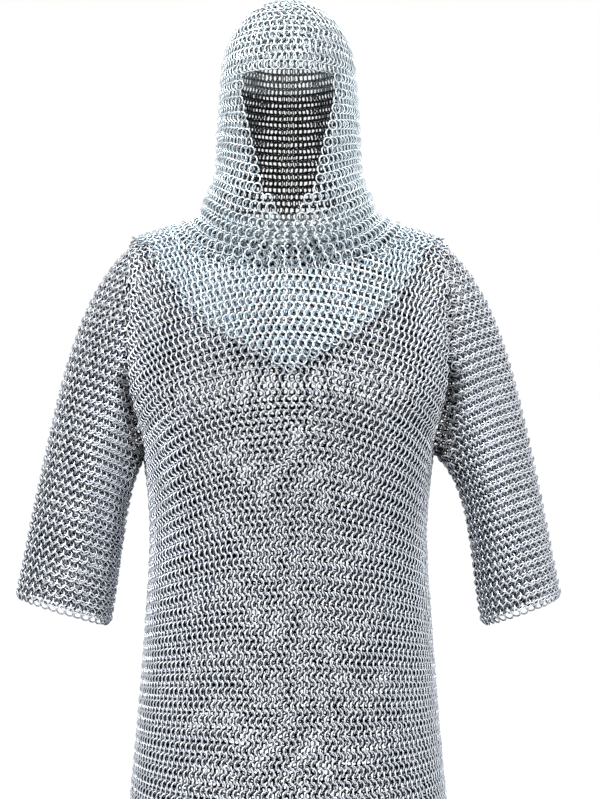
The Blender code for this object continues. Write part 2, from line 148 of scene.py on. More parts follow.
shirt = dict(
    shoulderHalfWidth=0.182, neckRise=0.020, shoulderDrop=0.010,
    pitDrop=0.250, pitRowRise=0.070, hemDrop=0.785, hemRowSag=0.055,
    fullness=0.035,  # how square the trunk is, seen from above
    frontShare=0.82,  # of a quarter turn, from the middle of the front to the armhole
    bulge=0.042, armholeReach=0.45,  # swell of the yoke towards the armholes, and its start
    halfWidths=[(0.0, 0.182), (0.120, 0.186), (0.170, 0.186), (0.250, 0.168), (0.350, 0.1585),
                (0.456, 0.164), (0.605, 0.176), (0.840, 0.200)],
    frontDepths=[(0.120, 0.122), (0.170, 0.122), (0.250, 0.118), (0.350, 0.110), (0.456, 0.115),
                 (0.605, 0.122), (0.840, 0.136)],
    backDepths=[(0.120, 0.112), (0.170, 0.112), (0.250, 0.106), (0.350, 0.099), (0.456, 0.106),
                (0.605, 0.120), (0.840, 0.134)],
    neckHalfWidth=0.086, neckFront=0.45, neckBack=0.30,
    rows=82, yokeRows=30, frontColumns=60, backColumns=72, sideColumns=9, rib=0.0003,
    evenAt=0.4, evenDown=0.35, evenShare=0.6,  # how columns even out on the way down
    backFrom=1.5, backFade=1.0,  # where the back's closer columns fade in, in quarter turns
    shoulderSpread=0.756,  # spacing of the columns at the neck, as a share of the even one
    neckEdge=1 / 12, chestShare=0.75, skirtFrom=0.5, hemFrom=13 / 14,  # where its pieces meet
)

bodyHalfWidth = profile(shirt["halfWidths"])
bodyFrontDepth = profile(shirt["frontDepths"])
bodyBackDepth = profile(shirt["backDepths"])


# around is 0 at the front, 1 at the left side, 2 at the back
def bodyAt(around, height):
    turn = around * math.pi / 2
    fullness = shirt["fullness"]
    across = (math.sin(turn) + fullness * math.sin(3 * turn)) / (1 - fullness)
    ahead = (math.cos(turn) - fullness * math.cos(3 * turn)) / (1 - fullness)
    depth = bodyFrontDepth(-height) if ahead > 0 else bodyBackDepth(-height)
    return Vector((bodyHalfWidth(-height) * across, -depth * ahead, height))


def pitRowHeight(around):
    return -shirt["pitDrop"] + shirt["pitRowRise"] * math.cos(around * math.pi / 2) ** 2


def hemRowHeight(around):
    return -shirt["hemDrop"] - shirt["hemRowSag"] * math.cos(around * math.pi / 2) ** 2


# down is 0 at the armpit row and 1 at the hem
def body(around, down):
    return bodyAt(around, mix(pitRowHeight(around), hemRowHeight(around), down))


# The shirt above the armpits: across is -1 and 1 at the armholes, over is 1 at the
# front armpit row, 0 on the shoulder line and -1 at the back armpit row
def yoke(across, over):
    share = abs(over)
    around = shirt["frontShare"] * across if over >= 0 else 2 - shirt["frontShare"] * across
    lean = math.sin(share * math.pi / 2)
    fall = 1 - math.cos(share * math.pi / 2)
    top = mix(shirt["neckRise"], -shirt["shoulderDrop"], across * across)
    height = mix(top, pitRowHeight(around), fall)
    low = bodyAt(around, min(height, 0.0))
    reach = shirt["armholeReach"]
    bulge = shirt["bulge"] * math.sin(share * math.pi) * smooth((abs(across) - reach) / (1 - reach))
    ahead = low.y * lean - math.copysign(bulge, over)
    return Vector((mix(shirt["shoulderHalfWidth"] * across, low.x, lean), ahead, height))


# The last columns of the front, the left side, the back and the right side. They are counted
# from the front edge of the right armhole, round by the front
def lastColumns():
    front, back, side = shirt["frontColumns"], shirt["backColumns"], shirt["sideColumns"]
    return front, front + side, front + side + back, front + side + back + side


def bodyColumns():
    return lastColumns()[-1]


# Spreads each part's columns evenly between its edges
def spreadAround(column):
    share = shirt["frontShare"]
    turns, left = divmod(column, bodyColumns())
    ends = list(zip((0, *lastColumns()), (-share, share, 2 - share, 2 + share, 4 - share)))
    for (first, low), (last, high) in zip(ends, ends[1:]):
        if left <= last:
            return 4 * turns + mix(low, high, (left - first) / (last - first))


# The back has more links in a row than the front, set in for ease
def crowdingAt(around):
    behind = smooth((shirt["backFrom"] - abs(around - 2)) / shirt["backFade"])
    return mix(1, shirt["backColumns"] / shirt["frontColumns"], behind)


evenPlaces, evenRun = runAlong(lambda around: body(around, shirt["evenAt"]), 0.0, 4.0, cuts=256)
crowding = np.array([crowdingAt(place) for place in evenPlaces])
crowded = np.diff(evenRun) * (crowding[1:] + crowding[:-1]) / 2
evenRun = np.concatenate([[0.0], np.cumsum(crowded)])


# Spreads the columns by their length round the body instead
def evenAround(column):
    share = (column - shirt["frontColumns"] / 2) / bodyColumns()
    turns = math.floor(share)
    return 4 * turns + float(np.interp((share - turns) * evenRun[-1], evenRun, evenPlaces))


# The hang of the mail: rows and columns wander a little in front and more down the back, in
# links, never where the body meets the yoke or at the hem. Waves are (size, waves round the
# body, start) for rows and (size, rows in a wave, waves round the body, start) for columns
hang = dict(
    front=0.10, back=1.0, backFrom=0.9, backFade=0.4, settle=9,
    rowWaves=[(0.50, 7, 0.4), (0.22, 11, 2.1)],
    columnWaves=[(0.80, 37, 1, 0.3), (0.40, 21, 3, 1.7), (0.20, 15, 4, 4.0)],
)


def wander(row, column):
    around = spreadAround(column % bodyColumns()) % 4
    behind = smooth((2 - abs(around - 2) - hang["backFrom"]) / hang["backFade"])
    fromPit = smooth((row + 0.5) / hang["settle"])
    fromHem = smooth((shirt["rows"] - row - 0.5) / hang["settle"])
    share = mix(hang["front"], hang["back"], behind) * (fromPit * fromHem)
    turn = 2 * math.pi * column / bodyColumns()
    rows = sum(size * math.sin(count * turn + start) for size, count, start in hang["rowWaves"])
    columns = sum(size * math.sin(2 * math.pi * row / run + count * turn + start)
                  for size, run, count, start in hang["columnWaves"])
    return share * rows, share * columns


def torsoAt(row, column):
    rowShift, columnShift = wander(row, column)
    row += rowShift
    column += columnShift
    down = (row + 0.5) / shirt["rows"]
    even = shirt["evenShare"] * smooth(down / shirt["evenDown"])
    return body(mix(spreadAround(column), evenAround(column), even), down)


def torsoPiece(row, column):
    down = (row + 0.5) / shirt["rows"]
    if down > shirt["hemFrom"]:
        return "hem_edge"
    part = "waist" if down < shirt["skirtFrom"] else "skirt"
    for name, last in zip(("front", "left", "back", "right"), lastColumns()):
        if column <= last:
            break
    return f"{name}_{part}" if name in ("front", "back") else f"{name}_{part}_side"


def layTorso():
    for row in range(shirt["rows"]):
        for k in range(bodyColumns()):
            column = k + 0.5 * (row % 2)
            layAt(torsoPiece(row, column), torsoAt, row, column, shirt["rib"])


# Lengths from the shoulder line down to the armpit rows, in front (1) and behind (-1), for
# a few lines between the middle and the armhole
yokeLines = [0.0, 0.25, 0.5, 0.75, 1.0]
yokeRuns = {
    front: [runAlong(lambda over: yoke(across, over * front), 0.0, 1.0) for across in yokeLines]
    for front in (1, -1)}


# Rows are counted from the front armpit row over the shoulder to the back one, at even steps
# along the mail
def overAt(row, across):
    fromTop = shirt["yokeRows"] - 0.5 - row
    front = 1 if fromTop > 0 else -1
    share = abs(fromTop) / shirt["yokeRows"]
    found = [np.interp(share * run[-1], run, places) for places, run in yokeRuns[front]]
    return front * float(np.interp(abs(across), yokeLines, found))


# Columns run from -1 at the right armhole to 1 at the left one; they crowd beside the neck
def acrossAt(row, column, columns):
    share = column / columns * 2 - 1
    fromTop = abs(shirt["yokeRows"] - 0.5 - row) / shirt["yokeRows"]
    plain = mix(shirt["shoulderSpread"], 1.0, min(fromTop, 1.0))
    return plain * share + (1 - plain) * share ** 3


# The place function of a weave over the shoulders, on the yoke itself or on the mantle
def overShoulders(sheet, columns, rowShift=0.0, columnShift=0.0):
    def placeAt(row, column):
        across = acrossAt(row + rowShift, column + columnShift, columns)
        return sheet(across, overAt(row + rowShift, across))

    return placeAt


def yokePiece(across, over):
    rim = max(abs(across), abs(over))
    neckOver = shirt["neckFront"] if over > 0 else shirt["neckBack"]
    neckAcross = shirt["neckHalfWidth"] / shirt["shoulderHalfWidth"]
    fromNeck = math.hypot(across / neckAcross, over / neckOver)
    if fromNeck < 1:
        return None
    neckRim = rim / fromNeck
    if (rim - neckRim) / (1 - neckRim) < shirt["neckEdge"]:
        return "neck_edge"
    if abs(over) == rim and abs(across) / rim <= shirt["chestShare"]:
        return "chest" if over > 0 else "upper_back"
    return "left_shoulder" if across > 0 else "right_shoulder"


# The sites of a weave over the shoulders, row by row
def yokeSites(backColumns):
    for row in range(2 * shirt["yokeRows"]):
        inFront = row < shirt["yokeRows"]
        odd = (shirt["yokeRows"] - 1 - row) % 2 if inFront else (row - shirt["yokeRows"]) % 2
        for k in range((shirt["frontColumns"] if inFront else backColumns) + 1 - odd):
            yield row, k + 0.5 * odd


def layYoke():
    for row, column in yokeSites(shirt["backColumns"]):
        columns = shirt["frontColumns"] if row < shirt["yokeRows"] else shirt["backColumns"]
        across = acrossAt(row, column, columns)
        piece = yokePiece(across, overAt(row, across))
        if piece:
            layAt(piece, overShoulders(yoke, columns), row, column, shirt["rib"], side=-1)


# Where a setting has two values, 1 is for the left sleeve and -1 for the right one
sleeveCut = dict(
    shoulderTurn=42, lean=11, shoulderHandle=0.095, cuffHandle=0.250,
    cuffOuter=(0.315, -0.418), cuffInnerDrop=0.450, innerReach={1: 0.225, -1: 0.207},
    pitTurn={1: 45, -1: 22}, pitHandle=0.070, underHandle=0.080, pitHalfWidth=0.168,
    halfDepths=[(0.0, 0.064), (0.4, 0.056), (1.0, 0.050)],
    frontTurnShare=0.85, blendShare=0.36,  # how the armhole's outline runs out into the arm's
    rowsAtArmhole=38, rowsAtCuff=32, gussetShare=0.6, rowsBehindShare=1.05,
    pitch=0.0112, pitchBehind=0.0104, behindFade=12,  # link to link along a row; rows between
    armholeGap=0.0045, oddGap=0.003, underGap=0.2,  # room left at the armhole and under the arm
    rib=0.0002, flatten=0.62,
    gussetFrom=0.75, upperFrom=5 / 14, lowerFrom=9 / 14, cuffFrom=13 / 14,  # where its pieces meet
)

sleeveHalfDepth = profile(sleeveCut["halfDepths"])


def overArm(along):
    turn = math.radians(sleeveCut["shoulderTurn"])
    lean = math.radians(sleeveCut["lean"])
    start = Vector((shirt["shoulderHalfWidth"], 0, -shirt["shoulderDrop"]))
    end = Vector((sleeveCut["cuffOuter"][0], 0, sleeveCut["cuffOuter"][1]))
    leave = Vector((math.cos(turn), 0, -math.sin(turn))) * sleeveCut["shoulderHandle"]
    arrive = Vector((math.sin(lean), 0, -math.cos(lean))) * sleeveCut["cuffHandle"]
    return bezier(start, start + leave, end - arrive, end, along)


def underArm(side, along):
    turn = math.radians(sleeveCut["pitTurn"][side])
    lean = math.radians(sleeveCut["lean"])
    start = Vector((sleeveCut["pitHalfWidth"], 0, -shirt["pitDrop"]))
    end = Vector((sleeveCut["innerReach"][side], 0, -sleeveCut["cuffInnerDrop"]))
    leave = Vector((math.sin(turn), 0, -math.cos(turn))) * sleeveCut["pitHandle"]
    arrive = Vector((math.sin(lean), 0, -math.cos(lean))) * sleeveCut["underHandle"]
    return bezier(start, start + leave, end - arrive, end, along)


# turn is 0 over the arm and pi under it
def roundSleeve(side, along, turn):
    point = mix(overArm(along), underArm(side, along), (1 - math.cos(turn)) / 2)
    return Vector((side * point.x, -sleeveHalfDepth(along) * math.sin(turn), point.z))


# roundShare is 0 over the arm, 1 and -1 at the ends of the yoke's rows, 2 and -2 under it
def sleeve(side, along, roundShare):
    share = abs(roundShare)
    front = math.copysign(1, roundShare)
    if share <= 1:
        turn = share * sleeveCut["frontTurnShare"] * math.pi
        armhole = yoke(side, roundShare)
    else:
        turn = mix(sleeveCut["frontTurnShare"], 1, share - 1) * math.pi
        around = mix(shirt["frontShare"], 1, share - 1)
        armhole = body(side * around if front > 0 else 2 - side * around, 0.0)
    turn *= front
    left = 1 - smooth(along / sleeveCut["blendShare"])
    return roundSleeve(side, along, turn) + (armhole - roundSleeve(side, 0.0, turn)) * left


# Lengths round the arm, forwards (1) and backwards (-1) from the line over it, at a few
# places down each sleeve
sleeveStations = np.linspace(0.0, 1.0, 17)
sleeveRuns = {
    (side, front): [runAlong(lambda share: sleeve(side, along, share * front), 0.0, 2.0)
                    for along in sleeveStations]
    for side in (1, -1) for front in (1, -1)}


def sleeveRows(along, row):
    narrowed = min(along / sleeveCut["gussetShare"], 1.0)
    rows = mix(sleeveCut["rowsAtArmhole"], sleeveCut["rowsAtCuff"], narrowed)
    return rows if row > 0 else rows * sleeveCut["rowsBehindShare"]


# Rows are counted from the line over the arm, forwards and backwards
def roundShareAt(side, row, along):
    front = 1 if row > 0 else -1
    part = abs(row) / sleeveRows(along, row)
    found = [np.interp(part * run[-1], run, places) for places, run in sleeveRuns[side, front]]
    return front * float(np.interp(along, sleeveStations, found))


def sleeveAt(side, row, along):
    return sleeve(side, along, roundShareAt(side, row, along))


def sleevePiece(word, along, roundShare):
    if along > sleeveCut["cuffFrom"]:
        return f"{word}_cuff_edge"
    if along > sleeveCut["lowerFrom"]:
        return f"{word}_lower_sleeve"
    if along > sleeveCut["upperFrom"]:
        return f"{word}_upper_sleeve"
    return f"{word}_gusset" if abs(roundShare) > sleeveCut["gussetFrom"] else f"{word}_shoulder_cap"


# Each row is laid from the cuff up, at even steps along its own line
def laySleeve(side):
    word = "left" if side > 0 else "right"
    near = 0.004
    rowsAhead = sleeveCut["rowsAtArmhole"]
    for k in range(-round(rowsAhead * sleeveCut["rowsBehindShare"]), rowsAhead):
        row = k + 0.5
        odd = k % 2
        behind = smooth(-row / sleeveCut["behindFade"])
        pitch = mix(sleeveCut["pitch"], sleeveCut["pitchBehind"], behind)
        places, run = runAlong(lambda along: sleeveAt(side, row, along), 0.0, 1.0)
        column = 0.5 * odd
        while column * pitch < run[-1] - sleeveCut["armholeGap"] - sleeveCut["oddGap"] * odd:
            along = float(np.interp(run[-1] - column * pitch, run, places))
            column += 1
            if abs(row) + sleeveCut["underGap"] > sleeveRows(along, row):
                continue
            ahead, astern = min(along + near, 1.0), max(along - near, 0.0)
            alongRow = sleeveAt(side, row, ahead) - sleeveAt(side, row, astern)
            alongRow *= pitch / alongRow.length
            roundRow = sleeveAt(side, row + 0.5, along) - sleeveAt(side, row - 0.5, along)
            outward = roundRow.cross(alongRow).normalized() * side
            acrossRow = roundRow - alongRow * (roundRow.dot(alongRow) / alongRow.length_squared)
            middle = sleeveAt(side, row, along) - outward * weave["sink"]
            piece = sleevePiece(word, along, roundShareAt(side, row, along))
            layLink(piece, middle, alongRow, acrossRow, outward, -1 if odd else 1,
                    sleeveCut["rib"], sleeveCut["flatten"])


coif = dict(
    crownTop=0.274, templeHeight=0.185, neckHeight=0.040, setForward=0.010,
    halfWidths=[(-0.185, 0.0775), (-0.120, 0.0815), (-0.075, 0.0835), (-0.040, 0.0965),
                (0.0, 0.110)],
    halfDepths=[(-0.185, 0.100), (-0.120, 0.100), (-0.075, 0.096), (-0.040, 0.097), (0.0, 0.094)],
    faceHalfAngle=46, edgeWidth=0.009, edgeFlatten=0.45, edgeGap=0.4,
    crownRows=16, crownPitch=0.0073, fewestInRow=5,
    fullRows=2,  # rows of the crown that have the hood's columns
    hoodRows=18, columns=84, crowdBehind=0.16, drift=0.03,
    rib=0.0011, ribSwing=3, crownRib=0.0004,
    browFrom=2 / 3, throatFrom=0.75, napeFrom=0.5,  # where its pieces meet
)

hoodHalfWidth = profile(coif["halfWidths"])
hoodHalfDepth = profile(coif["halfDepths"])


# down is 0 at the top of the head and 1 at the temples
def crown(turn, down):
    fall = down * math.pi / 2
    radius = math.sin(fall)
    halfWidth = hoodHalfWidth(-coif["templeHeight"])
    halfDepth = hoodHalfDepth(-coif["templeHeight"])
    return Vector((
        halfWidth * radius * math.sin(turn),
        -coif["setForward"] - halfDepth * radius * math.cos(turn),
        mix(coif["templeHeight"], coif["crownTop"], math.cos(fall)),
    ))


# down is 0 at the temples and 1 at the neck
def hood(turn, down):
    front = max(math.cos(turn), 0.0) ** 2
    height = mix(coif["templeHeight"], coif["neckHeight"] * (1 - front), down)
    return Vector((
        hoodHalfWidth(-height) * math.sin(turn),
        -coif["setForward"] - hoodHalfDepth(-height) * math.cos(turn),
        height,
    ))


# The turn of a column, counted from the middle of the back: columns crowd behind the head
def hoodTurn(column, columns):
    turn = column * 2 * math.pi / columns
    crowded = math.pi + turn - coif["crowdBehind"] * math.sin(turn)
    return crowded + coif["drift"] * math.sin(4 * turn)


# The rows that stand out are those whose links face forwards, on either side of the head
def hoodRib(turn):
    return coif["rib"] * min(max(-coif["ribSwing"] * math.sin(turn), -1), 1)


def crownWeave(count):
    def placeAt(row, column):
        return crown(hoodTurn(column, count), (row + 0.5) / coif["crownRows"])

    return placeAt


def layCrown():
    rows = coif["crownRows"]
    for row in range(rows):
        down = (row + 0.5) / rows
        girth = runAlong(lambda turn: crown(turn, down), -math.pi, math.pi)[1][-1]
        count = max(coif["fewestInRow"], round(girth / coif["crownPitch"]))
        if row >= rows - coif["fullRows"]:
            count = coif["columns"]
        piece = "crown" if down < coif["browFrom"] else "brow_band"
        for k in range(count):
            layAt(piece, crownWeave(count), row, k + 0.5 * (row % 2), coif["crownRib"])


# The face opening is widest at the brow and closes to a V at the throat
def faceEdgeTurn(down):
    return math.radians(coif["faceHalfAngle"]) * (1 - down * down)


def innerEdgeTurn(down):
    strip = coif["edgeWidth"] / coif["templeHeight"]
    return (math.radians(coif["faceHalfAngle"]) - strip) * (1 - down * down)


def hoodAt(row, column):
    return hood(hoodTurn(column, coif["columns"]), (row + 0.5) / coif["hoodRows"])


# The links that border the face opening
def edgePiece(down):
    return "face_edge" if down < coif["throatFrom"] else "throat_edge"


def hoodPiece(turn, down):
    word = "left" if turn > 0 else "right"
    fromFace = (abs(turn) - faceEdgeTurn(down)) / (math.pi - faceEdgeTurn(down))
    if fromFace < coif["napeFrom"]:
        return f"{word}_cheek" if down < coif["throatFrom"] else f"{word}_throat"
    return "nape" if down < coif["throatFrom"] else "neck_back"


def layHood():
    columns = coif["columns"]
    for row in range(coif["hoodRows"]):
        down = (row + 0.5) / coif["hoodRows"]
        for k in range(columns):
            column = k + 0.5 * (row % 2)
            turn = hoodTurn(column, columns)
            turn = turn - 2 * math.pi if turn > math.pi else turn
            step = hoodTurn(column + 0.5, columns) - hoodTurn(column - 0.5, columns)
            beside = abs(turn) - innerEdgeTurn(down) - step * coif["edgeGap"]
            if row > 0 and beside < 0:
                continue
            edge = abs(turn) < faceEdgeTurn(down) if row == 0 else beside < step
            piece = edgePiece(down) if edge else hoodPiece(turn, down)
            flatten = coif["edgeFlatten"] if edge else 1.0
            layAt(piece, hoodAt, row, column, hoodRib(turn), flatten=flatten)


mantleCut = dict(
    collarHalfWidth=0.135, collarFront=0.56, collarBack=0.46,
    flare=0.40, flareReach=1.1, collarRows=9,
    pointDrop=0.157, pointLonger=0.035, pointWidth=0.14, cutPower=1.33, backShare=0.93,
    lap=0.0052, lift=0.0015,  # from the shirt's face to the mantle's, and a little air
    rowShift=0.4, columnShift=0.25, rib=0.0003,
    edgeFrom=5 / 6, sideFrom=45,  # where its pieces meet
)


def mantleSheet(across, over):
    step = 0.001
    sideways = yoke(across + step, over) - yoke(across - step, over)
    frontways = yoke(across, over + step) - yoke(across, over - step)
    outward = frontways.cross(sideways).normalized()
    return yoke(across, over) + outward * (mantleCut["lap"] + mantleCut["lift"])


# Half the width and the reach of the collar's foot, in the yoke's own measure
def collarFoot(inFront):
    return (mantleCut["collarHalfWidth"] / shirt["shoulderHalfWidth"],
            mantleCut["collarFront"] if inFront else mantleCut["collarBack"])


def collar(turn, down):
    first = hood(turn, 1.0)
    halfAcross, halfOver = collarFoot(math.cos(turn) > 0)
    across, over = halfAcross * math.sin(turn), halfOver * math.cos(turn)
    last = mantleSheet(across, over)
    run = (last - first).length * mantleCut["flare"]
    further = mantleSheet(across * mantleCut["flareReach"], over * mantleCut["flareReach"])
    heading = (further - last).normalized()
    return bezier(first, first + Vector((0, 0, -run)), last - heading * run, last, down)


def collarAt(row, column):
    return collar(hoodTurn(column, coif["columns"]), (row + 0.5) / mantleCut["collarRows"])


def layCollar():
    for row in range(mantleCut["collarRows"]):
        for k in range(coif["columns"]):
            column = k + 0.5 * (row % 2)
            layAt("collar", collarAt, row, column, hoodRib(hoodTurn(column, coif["columns"])))


# How far the mantle comes down, in the yoke's own measure: it is longest at its point
def mantleReach(across, over):
    if over <= 0:
        return mantleCut["backShare"]
    fall = (mantleCut["pointDrop"] + shirt["neckRise"]) / (
        shirt["neckRise"] + shirt["pitDrop"] - shirt["pitRowRise"])
    tip = math.acos(1 - fall) * 2 / math.pi
    return tip * (1 + mantleCut["pointLonger"] * max(1 - abs(across) / mantleCut["pointWidth"], 0))


def mantlePiece(across, over):
    halfAcross, halfOver = collarFoot(over > 0)
    inner = math.hypot(across / halfAcross, over / halfOver)
    reach = mantleReach(across, over)
    power = mantleCut["cutPower"]
    outer = (abs(across) ** power + abs(over / reach) ** power) ** (1 / power)
    if inner < 1 or outer > 1:
        return None
    if (1 - 1 / inner) / (1 / outer - 1 / inner) > mantleCut["edgeFrom"]:
        return "mantle_edge"
    turn = math.degrees(math.atan2(across / halfAcross, over / halfOver))
    if abs(turn) <= mantleCut["sideFrom"]:
        return "mantle_front"
    if abs(turn) >= 180 - mantleCut["sideFrom"]:
        return "mantle_back"
    return "mantle_left" if turn > 0 else "mantle_right"


# The mantle is woven like the yoke under it and cut to its point. It is shifted by a part of
# a row and a column, so that its links lie over the gaps between the yoke's
def layMantle():
    rowShift, columnShift = mantleCut["rowShift"], mantleCut["columnShift"]
    placeAt = overShoulders(mantleSheet, shirt["frontColumns"], rowShift, columnShift)
    for row, column in yokeSites(shirt["frontColumns"]):
        across = acrossAt(row, column + columnShift, shirt["frontColumns"])
        piece = mantlePiece(across, overAt(row + rowShift, across))
        if piece:
            layAt(piece, placeAt, row, column, mantleCut["rib"], side=-1)


# One butted link: 16 gauge wire, its mean radius, and how coarsely it is cut. Square wire is
# drawn fuller, so that it covers what round wire covers
link = dict(
    wire=0.0016, radius=0.0057, roundCuts=10, wireCuts=4, wireFullness=1.34,
    mostInPiece=2480,  # links in one mesh, which keeps it under 200,000 triangles
    mapMargin=0.04,  # round each link on the UV map
)


# The link that is copied: one ring of wire, lying flat
def makeLinkShape():
    bpy.ops.mesh.primitive_torus_add(
        major_segments=link["roundCuts"], minor_segments=link["wireCuts"],
        major_radius=link["radius"], minor_radius=link["wire"] / 2 * link["wireFullness"])
    ring = bpy.context.object
    places = np.array([vertex.co for vertex in ring.data.vertices])
    normals = np.array([vertex.normal for vertex in ring.data.vertices])
    faces = np.array([face.vertices for face in ring.data.polygons])
    bpy.data.objects.remove(ring, do_unlink=True)
    return places, normals, faces


# Unrolls each link's faces onto a small square, and sets the squares side by side on one map
def unrollLinks(count, faces):
    number = np.arange(len(faces))[:, None]
    firstRound, firstWire = number // link["wireCuts"], number % link["wireCuts"]
    alongRing = (faces // link["wireCuts"] - firstRound) % link["roundCuts"] + firstRound
    roundWire = (faces % link["wireCuts"] - firstWire) % link["wireCuts"] + firstWire
    chart = np.stack([alongRing / link["roundCuts"], roundWire / link["wireCuts"]], axis=-1)
    chart = chart.reshape(1, -1, 2) * (1 - 2 * link["mapMargin"]) + link["mapMargin"]
    side = math.ceil(math.sqrt(count))
    cell = np.arange(count)
    corner = np.stack([cell % side, cell // side], axis=-1)[:, None, :]
    return (corner + chart) / side


# Painted shade in the fold under each arm: the links there are painted darker
armpitShadow = dict(top=(0.190, -0.170), bottom=(0.169, -0.285), reach=0.015, armpitLitShare=0.2)


# how deep each link lies in the painted shade under the arm, 1 on the fold line
def inArmpitShade(middles):
    top, bottom = np.array(armpitShadow["top"]), np.array(armpitShadow["bottom"])
    spots = np.stack([np.abs(middles[:, 0]), middles[:, 2]], axis=1) - top
    run = bottom - top
    share = np.clip(spots @ run / (run @ run), 0, 1)[:, None]
    away = np.linalg.norm(spots - share * run, axis=1)
    return np.clip(1 - away / armpitShadow["reach"], 0, 1)


# Turns a list of laid links into one mesh of separate rings
def makePiece(name, links, shape):
    shapePlaces, shapeNormals, shapeFaces = shape
    count = len(links)
    middle = links[:, 0:3] + chance.normal(0, weave["slip"], (count, 3))
    alongRow = links[:, 3:6]
    outward = links[:, 6:9]
    acrossRow = np.cross(outward, alongRow)
    tilt = np.radians(links[:, 9] + chance.normal(0, weave["wobble"], count))[:, None]
    roll = np.radians(links[:, 10] + chance.normal(0, weave["wobble"], count))[:, None]
    up = acrossRow * np.cos(roll) + outward * np.sin(roll)
    face = outward * np.cos(roll) - acrossRow * np.sin(roll)
    flat = alongRow * np.cos(tilt) - face * np.sin(tilt)
    hole = np.cross(flat, up)
    spin = chance.uniform(0, 2 * math.pi, count)[:, None]

    def turned(points):
        x = points[None, :, 0] * np.cos(spin) - points[None, :, 1] * np.sin(spin)
        y = points[None, :, 0] * np.sin(spin) + points[None, :, 1] * np.cos(spin)
        return (x[:, :, None] * flat[:, None, :] + y[:, :, None] * up[:, None, :]
                + points[None, :, 2:3] * hole[:, None, :])

    places = middle[:, None, :] + turned(shapePlaces)
    # which way each point of the wire faces, used to paint the side turned to the body dark as
    # shade
    facing = (turned(shapeNormals) * outward[:, None, :]).sum(axis=2)
    # how high each point stands, used to paint shade low down between the links
    height = (turned(shapePlaces) * outward[:, None, :]).sum(axis=2) + links[:, 11:12]
    corners = (shapeFaces[None, :, :] + np.arange(count)[:, None, None] * len(shapePlaces)).ravel()

    mesh = bpy.data.meshes.new(name + "_links")
    mesh.vertices.add(count * len(shapePlaces))
    mesh.vertices.foreach_set("co", places.astype(np.float32).ravel())
    mesh.loops.add(len(corners))
    mesh.loops.foreach_set("vertex_index", corners.astype(np.int32))
    mesh.polygons.add(count * len(shapeFaces))
    mesh.polygons.foreach_set("loop_start", np.arange(0, len(corners), 4, dtype=np.int32))
    mesh.update(calc_edges=True)
    mesh.shade_smooth()
    tones = np.repeat(chance.uniform(0, 1, count), len(shapePlaces))
    # painted shade under the arms, for each point
    armpitShaded = np.repeat(inArmpitShade(middle), len(shapePlaces))
    for title, values in (("linkTone", tones), ("wireFacing", facing), ("wireHeight", height),
                          ("inArmpitShade", armpitShaded)):
        attribute = mesh.attributes.new(title, "FLOAT", "POINT")
        attribute.data.foreach_set("value", values.astype(np.float32).ravel())
    bakeMap = mesh.uv_layers.new(name="OFBake")
    bakeMap.data.foreach_set("uv", unrollLinks(count, shapeFaces).astype(np.float32).ravel())
    piece = bpy.data.objects.new(name + "_links", mesh)
    bpy.context.scene.collection.objects.link(piece)
    return piece


# Zinc with painted light and shade: the outward side of the wire is painted bright and the side
# turned to the body painted dark as shade, with painted shade low down between the links
finishAndShade = dict(
    facingTo=0.55, lowHeight=-0.0026, highHeight=0.0016, toneSpread=0.10,
    spangleSize=420, spangleFrom=0.3, spangleTo=0.7, spangleDark=0.94, spangleBright=1.04,
    rough=0.24, dullRough=0.52, edgeTint=0.5,
)
# Lit and shaded copies of one zinc: the looks differ in how dark the inner side and the gaps
# between links are painted and in how bright the lit side is painted, so the crown, coif and mantle
# are painted lighter and the shirt's inner sides nearly black; their tints differ a little too
zincLooks = dict(
    shirt=dict(tint=(0.87, 0.92, 1.0), litSide=0.94, shadedSide=0.012, lowShare=0.30, facingFrom=-0.35),
    sleeve=dict(tint=(0.87, 0.92, 1.0), litSide=0.91, shadedSide=0.012, lowShare=0.42, facingFrom=-0.45),
    coif=dict(tint=(0.84, 0.94, 1.0), litSide=1.0, shadedSide=0.45, lowShare=0.62, facingFrom=-0.35),
    crown=dict(tint=(0.86, 0.95, 1.0), litSide=1.0, shadedSide=0.26, lowShare=0.95, facingFrom=-0.65),
    nape=dict(tint=(0.84, 0.94, 1.0), litSide=1.0, shadedSide=0.05, lowShare=0.58, facingFrom=-0.35),
    mantle=dict(tint=(0.84, 0.94, 1.0), litSide=1.0, shadedSide=0.60, lowShare=0.90, facingFrom=-0.45),
)
zincOf = {"crown": "crown", "brow_band": "crown", "nape": "nape", "neck_back": "nape"}
for part in ("front", "left", "right", "back", "edge"):
    zincOf["mantle_" + part] = "mantle"
for part in ("shoulder_cap", "gusset", "upper_sleeve", "lower_sleeve", "cuff_edge"):
    zincOf["left_" + part] = zincOf["right_" + part] = "sleeve"


